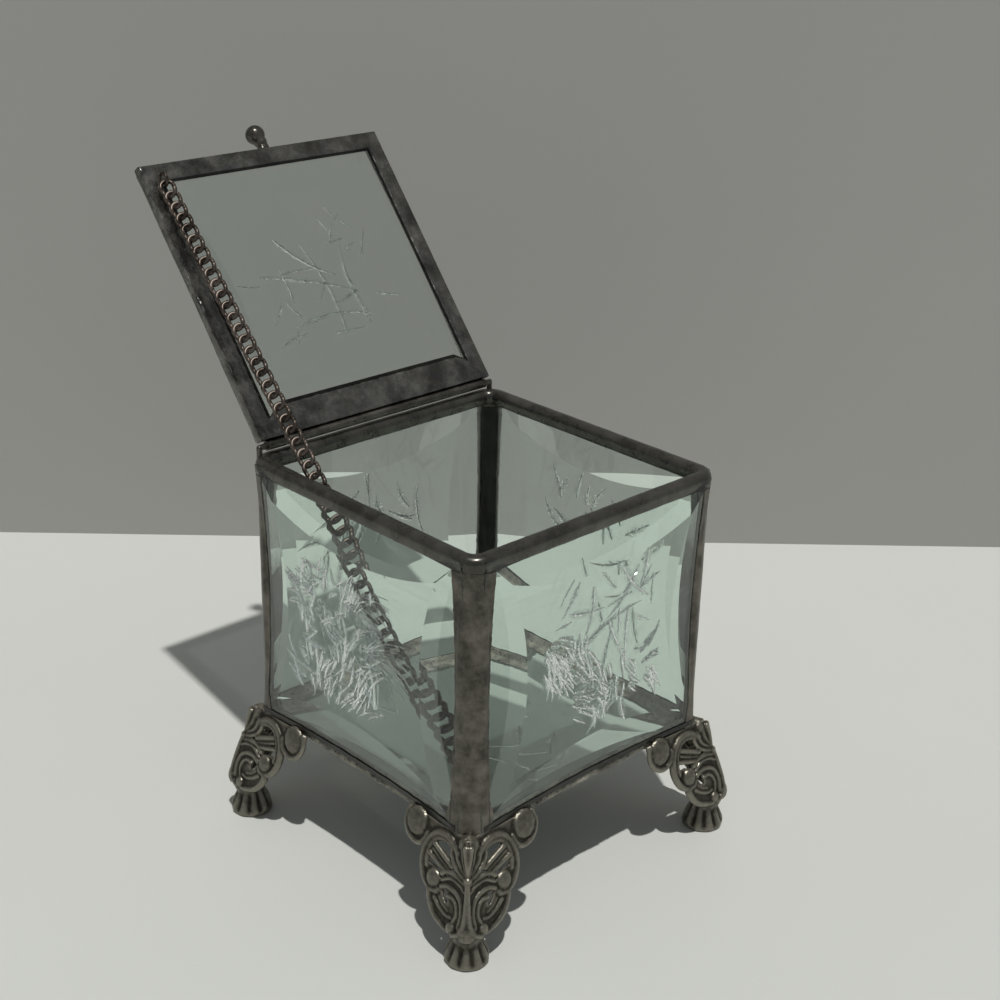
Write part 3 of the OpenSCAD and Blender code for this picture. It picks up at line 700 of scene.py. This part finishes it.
# ---------------------------------------------------------------------------
# Lid border: wide foil and solder round the lid's pane, rippled where the iron
# was drawn along it and widest beside the hinge, with a knob of two solder balls.
lid_solder = solder_material("lid_solder", (0.075, 0.073, 0.068), (0.20, 0.195, 0.18), 0.12, 0.36, 1.0, 0.85, 0.06)
lid_half, lid_mid = 39.0, -0.4
rings = []
for quarter in range(4):
    for k in range(90):
        share = 1 - 2 * k / 90
        wide = 1.62 if quarter == 0 else 1.0
        outline = []
        for inset, lift_, blend in ((5.0, 0.04, 1), (4.9, -0.17, 1), (4.3, -0.27, 1), (3.4, -0.28, 1), (2.4, -0.29, 1),
                                    (1.4, -0.29, 1), (0.6, -0.28, 1), (0.12, -0.12, 0), (0.0, 0.3, 0), (0.0, 2.0, 0),
                                    (0.2, 2.6, 0), (0.7, 3.0, 0), (1.6, 3.1, 0), (2.8, 3.2, 0), (3.9, 3.35, 0),
                                    (4.3, 3.3, 0), (4.4, 2.9, 0)):
            far = lid_half
            d = inset * (wide if blend else 1)
            px, py = share * (far - d), far - d
            if blend:
                d += 0.22 * lump(share * 12, 0, inset * 0.2, 30 + quarter) * (inset > 4)
                px, py = share * (far - d), far - d
            w = lift_
            if blend and lift_ < -0.1:
                w = min(lift_ + 0.10 + (0.12 + 0.10 * (quarter == 0)) * lump(px / 3.2, py / 2.2, 0, 33 + quarter)
                        + (0.05 + 0.04 * (quarter == 0)) * lump(px / 1.0, py / 1.0, 0, 34), -0.05)
            elif lift_ > 2.5:
                inside = float(pane_thickness(np.array(px), np.array(min(py, pane_side / 2)), pane_side, pane_side))
                w = (inside + 0.28 if inset > 0.9 else min(lift_, inside + 0.1)) \
                    + 0.06 * lump(px / 3, py / 2, 1, 35)
                if inset > 4.35:
                    w = inside - 0.05
            outline.append((px, py, w))
        ring = turned(outline, quarter)
        ring[:, 1] += lid_mid
        ring[:, 2] += 71.9
        rings.append(placed(ring, opened()))
obj = sweep("lid_frame", rings, lid_solder, closed=True, sharp=60)
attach(obj, "lid")
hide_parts("lid_border_front", "lid_border_right", "lid_border_back", "lid_border_left")
# Blackened foil showing past the solder on the underside of the lid border. The near-black strip also serves as a
# painted shade line along the border's inner edge.
rings = []
for quarter in range(4):
    for k in range(60):
        share, wide = 1 - 2 * k / 60, 1.62 if quarter == 0 else 1.0
        ring = turned([(share * (lid_half - d), lid_half - d, w) for d, w in
                       ((4.8 * wide, 0.05), (4.8 * wide, -0.2), (5.0 * wide + 0.5, -0.12), (5.0 * wide + 0.6, 0.05))],
                      quarter)
        rings.append(placed(ring + [0, lid_mid, 71.9], opened()))
obj = sweep("foil_and_shade_line_lid", rings, foil_black, closed=True, sharp=40)
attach(obj, "lid")


def smooth_copy(name, body, mat, voxel=None, relax=0, sharp=40):
    """A CAD piece with its triangles joined, so that it shades as one smooth casting."""
    work = bmesh.new()
    work.from_mesh(nodes[name].data)
    bmesh.ops.remove_doubles(work, verts=work.verts, dist=2e-6)
    mesh = bpy.data.meshes.new("cast_" + name)
    work.to_mesh(mesh)
    work.free()
    obj = bpy.data.objects.new("cast_" + name, mesh)
    bpy.context.collection.objects.link(obj)
    if voxel:
        remesh = obj.modifiers.new("remesh", "REMESH")
        remesh.mode = "VOXEL"
        remesh.voxel_size = voxel * MM
        soften = obj.modifiers.new("soften", "SMOOTH")
        soften.factor = 0.5
        soften.iterations = relax
        bpy.context.view_layer.update()
        ready = obj.evaluated_get(bpy.context.evaluated_depsgraph_get())
        mesh = bpy.data.meshes.new_from_object(ready)
        bpy.data.objects.remove(obj)
        obj = bpy.data.objects.new("cast_" + name, mesh)
        bpy.context.collection.objects.link(obj)
    mesh.materials.clear()
    mesh.materials.append(mat)
    mesh.polygons.foreach_set("use_smooth", [True] * len(mesh.polygons))
    if not voxel:
        mesh.set_sharp_from_angle(angle=math.radians(sharp))
    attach(obj, body)
    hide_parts(name)
    return obj


knob_solder = solder_material("knob_solder", (0.035, 0.032, 0.028), (0.12, 0.112, 0.10), 0.16, 0.34, 0.5, 0.8, 0.10)
work = bmesh.new()
for aside, away, r in ((-0.2, 4.8, 2.65), (0.45, 2.5, 1.8), (0.8, 0.9, 1.4), (0.1, 0.3, 1.4)):
    bmesh.ops.create_icosphere(work, subdivisions=4, radius=r,
                               matrix=Matrix.Translation((1 + aside, -39.4 - away, 73.5)))
model = bpy.data.meshes.new("knob_balls")
work.to_mesh(model)
work.free()
model.transform(Matrix.Scale(MM, 4) @ opened())
pattern = bpy.data.objects.new("knob_balls", model)
bpy.context.collection.objects.link(pattern)
skin = pattern.modifiers.new("skin", "REMESH")
skin.mode = "VOXEL"
skin.voxel_size = 0.16 * MM
relax = pattern.modifiers.new("relax", "SMOOTH")
relax.factor, relax.iterations = 0.5, 5
bpy.context.view_layer.update()
knob = bpy.data.objects.new("knob_two_balls", bpy.data.meshes.new_from_object(
    pattern.evaluated_get(bpy.context.evaluated_depsgraph_get())))
bpy.data.objects.remove(pattern)
bpy.context.collection.objects.link(knob)
knob.data.materials.clear()
knob.data.materials.append(knob_solder)
knob.data.polygons.foreach_set("use_smooth", [True] * len(knob.data.polygons))
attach(knob, "lid")
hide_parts("lid_knob")

# ---------------------------------------------------------------------------
# Hinge: a wire soldered to the back rail by its bent legs turns in a tube that
# is soldered to the lid's border.
hinge_metal = solder_material("hinge_metal", (0.06, 0.058, 0.05), (0.16, 0.15, 0.13), 0.3, 0.5, 0.2, 0.9)
smooth_copy("hinge_rod", "box", hinge_metal)
smooth_copy("hinge_tube", "lid", hinge_metal)

# ---------------------------------------------------------------------------
# Feet: cast filigree corners with two leaning wings and a fan toe, antiqued dark
# in the hollows and rubbed grey on the ridges.


def rubbed_metal(name, dark, pale):
    """Antiqued casting: the height of a ridge over its surroundings, kept in the mesh, shows bare metal."""
    mat = solder_material(name, dark, [c * 1.6 for c in dark], 0.26, 0.5, 0.35, 0.75)
    tree = mat.node_tree
    nodes_, links = tree.nodes, tree.links
    shader = nodes_["Principled BSDF"]
    before = shader.inputs["Base Color"].links[0].from_socket
    ridge = nodes_.new("ShaderNodeAttribute")
    ridge.attribute_name = "ridge"
    coords = nodes_.new("ShaderNodeTexCoord")
    grain = nodes_.new("ShaderNodeTexNoise")
    grain.inputs["Scale"].default_value = 900
    grain.inputs["Detail"].default_value = 4
    links.new(coords.outputs["Object"], grain.inputs["Vector"])
    patchy = nodes_.new("ShaderNodeMath")
    patchy.operation = "MULTIPLY_ADD"
    patchy.inputs[1].default_value = 0.5
    patchy.inputs[2].default_value = -0.25
    links.new(grain.outputs["Fac"], patchy.inputs[0])
    total = nodes_.new("ShaderNodeMath")
    total.operation = "ADD"
    total.use_clamp = True
    links.new(ridge.outputs["Fac"], total.inputs[0])
    links.new(patchy.outputs["Value"], total.inputs[1])
    rub = nodes_.new("ShaderNodeMix")
    rub.data_type = "RGBA"
    rub.inputs["B"].default_value = (*pale, 1)
    links.new(total.outputs["Value"], rub.inputs["Factor"])
    links.new(before, rub.inputs["A"])
    links.new(rub.outputs["Result"], shader.inputs["Base Color"])
    return mat


cast_metal = rubbed_metal("cast_feet", (0.026, 0.023, 0.017), (0.26, 0.245, 0.20))
ball = bmesh.new()
bmesh.ops.create_icosphere(ball, subdivisions=2, radius=1)
ball_points = np.array([v.co for v in ball.verts])
ball_faces = np.array([[v.index for v in f.verts] for f in ball.faces])
ball.free()
wax_points, wax_faces = [], []


def wax(points, faces):
    start = sum(len(p) for p in wax_points)
    wax_points.append(np.asarray(points, float))
    wax_faces.extend([[start + i for i in f] for f in faces])


def wing_point(u, h, deep):
    """A point of the wing on the +Y side: u from the corner, h down its lean, deep behind its face."""
    return (42.4 - u, 42.4 + 0.2588 * h - 0.9659 * deep, -0.9 - 0.9659 * h - 0.2588 * deep)


def roll_of_wax(path, thick, deep=0.25):
    """A round thread laid along a smooth line through the points of the path."""
    pts = [np.array(p, float) for p in path]
    pts = [2 * pts[0] - pts[1]] + pts + [2 * pts[-1] - pts[-2]]
    run = []
    for k in range(1, len(pts) - 2):
        steps = max(2, int(np.hypot(*(pts[k + 1] - pts[k])) / 0.22))
        for t in np.arange(steps) / steps:
            run.append(0.5 * ((2 * pts[k]) + (pts[k + 1] - pts[k - 1]) * t
                              + (2 * pts[k - 1] - 5 * pts[k] + 4 * pts[k + 1] - pts[k + 2]) * t ** 2
                              + (3 * pts[k] - pts[k - 1] - 3 * pts[k + 1] + pts[k + 2]) * t ** 3))
    run.append(pts[-2])
    first, last = (thick, thick) if isinstance(thick, float) else thick
    for k, (u, h) in enumerate(run):
        r = first + (last - first) * k / (len(run) - 1)
        dome(u, h, r, r, r, deep)


def dome(u, h, wide, tall, proud, deep=0.25):
    out = ball_points * (wide, tall, proud)
    wax([wing_point(u + p[0], h + p[1], deep - p[2]) for p in out], ball_faces)


def plate(outline, front=0.15, back=1.05):
    n = len(outline)
    pts = [wing_point(u, h, front) for u, h in outline] + [wing_point(u, h, back) for u, h in outline]
    wax(pts, [list(range(n)), list(range(2 * n - 1, n - 1, -1))]
        + [[k, n + k, n + (k + 1) % n, (k + 1) % n] for k in range(n)])


plate([(-0.2, -0.9), (4.6, 1.0), (4.4, 4.4), (3.4, 6.6), (0.6, 8.4), (-2.3, 8.8)])
plate([(-2.2, 8.4), (2.4, 8.9), (5.8, 11.2), (5.4, 13.3), (3.4, 14.1), (2.8, 15.9), (3.2, 17.6),
       (0.6, 22.6), (-5.6, 22.0)])
plate([(5.4, 13.9), (9.6, 15.2), (8.4, 18.6), (6.0, 20.9), (1.1, 22.9), (-0.5, 20.7), (2.9, 17.3), (4.4, 16.0)])
plate([(3.4, 8.0), (4.6, 6.3), (10.2, 4.4), (11.4, 7.8), (5.5, 9.9)], 0.3)
plate([(-0.2, -0.8), (22, -0.6), (22, 0.7), (13.6, 1.6), (9.0, 2.0), (4.0, 2.2), (0.0, 1.6)], 0.35, 1.2)
plate([(9.0, 10.0), (12.8, 10.0), (12.4, 13.6), (9.6, 15.6), (6.4, 14.8), (6.0, 12.0)], 0.2)
plate([(12.4, 0.6), (21.0, 0.2), (21.0, 3.6), (19.4, 6.0), (16.4, 7.4), (13.6, 6.2)], 0.3)
roll_of_wax([(2.9, 3.4), (4.8, 1.9), (7.4, 1.1), (10.6, 1.9), (12.9, 4.6), (13.6, 8.2), (13.2, 11.4),
             (11.5, 14.3), (8.9, 15.5), (6.5, 14.5)], (1.1, 1.0), 0.55)
roll_of_wax([(4.0, 3.0), (7.4, 2.2), (10.2, 3.1), (11.8, 5.6), (12.3, 8.6), (11.8, 10.8)], 0.8, 0.45)
dome(8.6, 12.6, 2.4, 2.5, 1.2, 0.1)
dome(17.8, 2.0, 3.7, 3.9, 1.25, 0.3)
roll_of_wax([(13.6, 3.4), (14.3, 5.4), (16.0, 6.9), (18.4, 6.9), (20.6, 5.4), (21.7, 2.6), (20.9, -0.2)],
            (0.9, 0.7), 0.5)
roll_of_wax([(3.6, 7.4), (6.6, 6.2), (10.3, 4.7)], 0.72, 0.2)
roll_of_wax([(5.0, 9.3), (8.0, 8.5), (11.6, 7.4)], 0.72, 0.2)
roll_of_wax([(4.5, 8.3), (7.2, 7.4), (10.6, 6.1)], 0.45, 0.15)
roll_of_wax([(-2.0, 8.6), (0.7, 7.9), (3.2, 6.4), (4.5, 4.4), (4.6, 2.4)], 0.62, 0.2)
roll_of_wax([(-1.9, 9.8), (1.5, 9.0), (4.6, 9.2), (6.2, 10.4)], (0.5, 0.75), 0.15)
roll_of_wax([(-2.0, 11.5), (0.1, 10.5), (2.9, 10.3), (5.8, 11.9)], 0.5, 0.1)
roll_of_wax([(-2.3, 9.6), (-3.0, 12.5), (-3.7, 16.5), (-3.9, 19.6), (-3.1, 21.8), (-1.2, 22.9)], (0.6, 0.8), 0.05)
roll_of_wax([(-2.4, 20.4), (-2.5, 17.2), (-1.4, 14.4), (0.8, 12.9), (3.6, 12.6), (5.6, 13.5)], (0.75, 0.7), 0.25)
roll_of_wax([(-0.2, 20.3), (-0.9, 18.0), (-0.3, 15.9), (1.2, 14.7), (3.1, 14.8)], 0.55, 0.2)
roll_of_wax([(7.0, 15.3), (9.1, 16.1), (8.2, 18.8), (6.2, 21.0), (3.4, 22.3), (0.7, 22.8)], (1.1, 0.8), 0.5)
roll_of_wax([(7.0, 17.0), (5.0, 18.4), (2.4, 19.4), (0.7, 19.3)], (0.7, 0.55), 0.25)
roll_of_wax([(5.6, 16.2), (4.2, 17.4), (2.2, 18.2)], 0.38, 0.2)
dome(0.0, 21.6, 1.5, 1.5, 1.0, 0.1)
roll_of_wax([(-1.7, 7.6), (-1.5, 4.4), (-0.9, 0.8)], (0.4, 0.8), 0.1)
roll_of_wax([(-1.4, 7.4), (0.4, 4.4), (1.4, 1.0)], (0.4, 0.8), 0.1)
roll_of_wax([(-0.9, 7.6), (2.0, 5.4), (3.4, 2.2)], (0.4, 0.7), 0.15)
half_points, half_faces = np.concatenate(wax_points), list(wax_faces)
wax(half_points[:, [1, 0, 2]], [f[::-1] for f in half_faces])


def knot(x, z, r, tall=None):
    wax(ball_points * (r, r, tall or r) + (x, x, z), ball_faces)


for k in range(40):
    t = k / 39
    knot(41.6 + 4.6 * t, -5.0 - 17.5 * t, 1.5 + 0.9 * t)
for k in range(12):
    t = k / 11
    knot(46.0 - 2.2 * t, -21.5 - 4.5 * t, 2.6 + 1.0 * t)
knot(40.9, -2.4, 2.6)
knot(44.3, -9.4, 1.1)
turns, rings = 96, []
for z, r, flute in ((-32.4, 4.9, 0.0), (-32.0, 5.35, 0.0), (-31.5, 5.4, 0.02), (-31.0, 5.3, 0.05), (-30.0, 4.9, 0.10),
                    (-28.6, 4.3, 0.12), (-27.2, 3.7, 0.12), (-25.8, 3.2, 0.10), (-24.6, 2.8, 0.05), (-23.6, 2.2, 0.0)):
    rings.append([(43.5 + r * (1 - flute + 2 * flute * abs(math.cos(5 * a))) * math.cos(a + math.pi / 4),
                   43.5 + r * (1 - flute + 2 * flute * abs(math.cos(5 * a))) * math.sin(a + math.pi / 4), z)
                  for a in (2 * math.pi * j / turns for j in range(turns))])
wax(np.concatenate(rings), [[k * turns + j, k * turns + (j + 1) % turns, (k + 1) * turns + (j + 1) % turns,
                             (k + 1) * turns + j] for k in range(len(rings) - 1) for j in range(turns)]
    + [list(range(turns))[::-1], list(range((len(rings) - 1) * turns, len(rings) * turns))])

model = bpy.data.meshes.new("foot_wax")
model.from_pydata((np.concatenate(wax_points) * MM).tolist(), [], wax_faces)
pattern = bpy.data.objects.new("foot_wax", model)
bpy.context.collection.objects.link(pattern)
skin = pattern.modifiers.new("skin", "REMESH")
skin.mode = "VOXEL"
skin.voxel_size = 0.21 * MM
relax = pattern.modifiers.new("relax", "SMOOTH")
relax.factor, relax.iterations = 0.5, 3
bpy.context.view_layer.update()
cast = bpy.data.meshes.new_from_object(pattern.evaluated_get(bpy.context.evaluated_depsgraph_get()))
bpy.data.objects.remove(pattern)
count = len(cast.vertices)
co = np.empty(count * 3)
cast.vertices.foreach_get("co", co)
co = co.reshape(-1, 3)
ends = np.empty(len(cast.edges) * 2, int)
cast.edges.foreach_get("vertices", ends)
ends = ends.reshape(-1, 2)
degree = np.bincount(ends.ravel(), minlength=count)[:, None]
soft = co.copy()
for _ in range(26):
    total = np.stack([np.bincount(ends[:, 0], soft[ends[:, 1], k], count)
                      + np.bincount(ends[:, 1], soft[ends[:, 0], k], count) for k in range(3)], 1)
    soft = total / np.maximum(degree, 1)
normal = np.empty(count * 3)
cast.vertices.foreach_get("normal", normal)
normal = normal.reshape(-1, 3)
proud = ((co - soft) * normal).sum(1) / MM
grit = np.array([lump(*(p * 1100), 60) for p in co])
co += normal * (grit * 0.035 * MM)[:, None]
low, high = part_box("foot_back_right")
co = np.clip(co, [-1, -1, low.z], [high.x, high.y, 1])
for quarter, corner in enumerate(("back_right", "back_left", "front_left", "front_right")):
    mesh = cast.copy()
    mesh.vertices.foreach_set("co", turned(co, quarter).ravel())
    layer = mesh.attributes.new("ridge", "FLOAT", "POINT")
    layer.data.foreach_set("value", np.clip(0.24 + proud * 2.8, 0, 1).astype(np.float32))
    mesh.materials.clear()
    mesh.materials.append(cast_metal)
    mesh.polygons.foreach_set("use_smooth", [True] * len(mesh.polygons))
    obj = bpy.data.objects.new("filigree_foot_" + corner, mesh)
    bpy.context.collection.objects.link(obj)
    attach(obj, "box")
    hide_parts("foot_" + corner)

# ---------------------------------------------------------------------------
# Chain: a fine bronzed curb chain from an eye low in the front left corner to
# one under the lid, one twisted wire link through the next.
chain_metal = solder_material("chain_bronze", (0.055, 0.042, 0.034), (0.17, 0.14, 0.12), 0.3, 0.5, 0.1, 0.9)
smooth_copy("box_chain_eye", "box", chain_metal)
smooth_copy("lid_chain_eye", "lid", chain_metal)
link_r, link_wire, link_twist, link_count = 1.75, 1.1, math.radians(20), 51
box_eye, taut_length, taut_angle = Vector((-35.2, -35.2, 10)), 170.4596, math.radians(46.0196)
link_room, link_slack = 0.6, 1.18
link_pitch = (taut_length - 2 * link_room - link_slack) / link_count
link_half = (link_pitch + link_slack) / 2 - link_r


def curb_link():
    """One link along X: a wire ring whose two round ends are twisted against each other."""
    path = []
    for way, turn in ((1, 0), (-1, math.pi)):
        for k in range(15):
            a = turn + math.pi * k / 14
            path.append(Vector((way * link_half + link_r * abs(math.sin(a)),
                                link_r * math.cos(a) * math.cos(link_twist),
                                way * link_r * math.cos(a) * math.sin(link_twist))))
            if way < 0:
                path[-1].x = -link_half - link_r * abs(math.sin(a))
    points, faces = [], []
    count, sides = len(path), 10
    for k, p in enumerate(path):
        run = (path[(k + 1) % count] - path[k - 1]).normalized()
        out = Vector((p.x * 0.35, p.y, p.z))
        out = (out - run * out.dot(run)).normalized()
        flat = run.cross(out)
        for j in range(sides):
            a = 2 * math.pi * j / sides
            points.append(p + out * (math.cos(a) * link_wire / 2) + flat * (math.sin(a) * link_wire / 2))
            faces.append((k * sides + j, k * sides + (j + 1) % sides,
                          (k + 1) % count * sides + (j + 1) % sides, (k + 1) % count * sides + j))
    mesh = bpy.data.meshes.new("curb_link")
    mesh.from_pydata([p * MM for p in points], [], faces)
    mesh.polygons.foreach_set("use_smooth", [True] * len(faces))
    work = bmesh.new()
    work.from_mesh(mesh)
    bmesh.ops.recalc_face_normals(work, faces=work.faces)
    work.to_mesh(mesh)
    work.free()
    return mesh


def chain_tree():
    """Geometry nodes: links set one pitch apart along X, then laid along the taut line."""
    tree = bpy.data.node_groups.new("curb_chain", "GeometryNodeTree")
    sockets = {}
    for label, kind in (("Link", "NodeSocketGeometry"), ("Links", "NodeSocketInt"),
                        ("First link at", "NodeSocketFloat"), ("Pitch", "NodeSocketFloat"),
                        ("Wobble", "NodeSocketFloat"), ("Roll", "NodeSocketFloat"),
                        ("Rise", "NodeSocketFloat"),
                        ("Eye", "NodeSocketVector"), ("Finish", "NodeSocketMaterial")):
        sockets[label] = tree.interface.new_socket(label, in_out="INPUT", socket_type=kind).identifier
    tree.interface.new_socket("Chain", in_out="OUTPUT", socket_type="NodeSocketGeometry")
    given, made = tree.nodes.new("NodeGroupInput"), tree.nodes.new("NodeGroupOutput")
    line = tree.nodes.new("GeometryNodeMeshLine")
    first, step = tree.nodes.new("ShaderNodeCombineXYZ"), tree.nodes.new("ShaderNodeCombineXYZ")
    put = tree.nodes.new("GeometryNodeInstanceOnPoints")
    shake = tree.nodes.new("FunctionNodeRandomValue")
    shake.data_type = "FLOAT_VECTOR"
    shake.inputs["Seed"].default_value = 5
    spread = tree.nodes.new("ShaderNodeVectorMath")
    spread.operation = "SCALE"
    shake.inputs[0].default_value = (-1, -0.3, -0.3)
    shake.inputs[1].default_value = (1, 0.3, 0.3)
    real = tree.nodes.new("GeometryNodeRealizeInstances")
    finish = tree.nodes.new("GeometryNodeSetMaterial")
    turn = tree.nodes.new("GeometryNodeTransform")
    aim = tree.nodes.new("ShaderNodeCombineXYZ")
    lay = tree.nodes.new("GeometryNodeTransform")
    lay.inputs["Rotation"].default_value = (0, 0, math.pi / 2)
    link = tree.links.new
    link(given.outputs["Links"], line.inputs["Count"])
    link(given.outputs["First link at"], first.inputs["X"])
    link(given.outputs["Pitch"], step.inputs["X"])
    link(first.outputs["Vector"], line.inputs["Start Location"])
    link(step.outputs["Vector"], line.inputs["Offset"])
    link(line.outputs["Mesh"], put.inputs["Points"])
    link(given.outputs["Link"], put.inputs["Instance"])
    link(shake.outputs[0], spread.inputs["Vector"])
    link(given.outputs["Wobble"], spread.inputs["Scale"])
    facing = tree.nodes.new("ShaderNodeCombineXYZ")
    added = tree.nodes.new("ShaderNodeVectorMath")
    added.operation = "ADD"
    link(given.outputs["Roll"], facing.inputs["X"])
    link(spread.outputs["Vector"], added.inputs[0])
    link(facing.outputs["Vector"], added.inputs[1])
    link(added.outputs["Vector"], put.inputs["Rotation"])
    link(put.outputs["Instances"], lay.inputs["Geometry"])
    link(given.outputs["Rise"], aim.inputs["X"])
    link(lay.outputs["Geometry"], turn.inputs["Geometry"])
    link(aim.outputs["Vector"], turn.inputs["Rotation"])
    link(given.outputs["Eye"], turn.inputs["Translation"])
    link(turn.outputs["Geometry"], real.inputs["Geometry"])
    link(real.outputs["Geometry"], finish.inputs["Geometry"])
    link(given.outputs["Finish"], finish.inputs["Material"])
    link(finish.outputs["Geometry"], made.inputs["Chain"])
    return tree, sockets


chain_nodes, chain_inputs = chain_tree()
link_mesh = curb_link()
first_centre = link_room + link_half + link_r
for run, first, count in (("chain_lower", 0, 19), ("chain_middle", 19, 16), ("chain_upper", 35, 16)):
    laid = bpy.data.objects.new("laid_" + run, link_mesh)
    bpy.context.collection.objects.link(laid)
    laying = laid.modifiers.new("laying", "NODES")
    laying.node_group = chain_nodes
    for label, value in (("Links", count), ("First link at", (first_centre + first * link_pitch) * MM),
                         ("Pitch", link_pitch * MM), ("Wobble", 0.03),
                         ("Roll", math.radians(-38)), ("Rise", taut_angle),
                         ("Eye", box_eye * MM), ("Finish", chain_metal)):
        laying[chain_inputs[label]] = value
    bpy.context.view_layer.update()
    ready = laid.evaluated_get(bpy.context.evaluated_depsgraph_get())
    obj = bpy.data.objects.new("links_" + run, bpy.data.meshes.new_from_object(ready))
    bpy.context.collection.objects.link(obj)
    bpy.data.objects.remove(laid)
    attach(obj, run)
    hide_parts(run)

bpy.context.scene.view_settings.view_transform = "Standard"
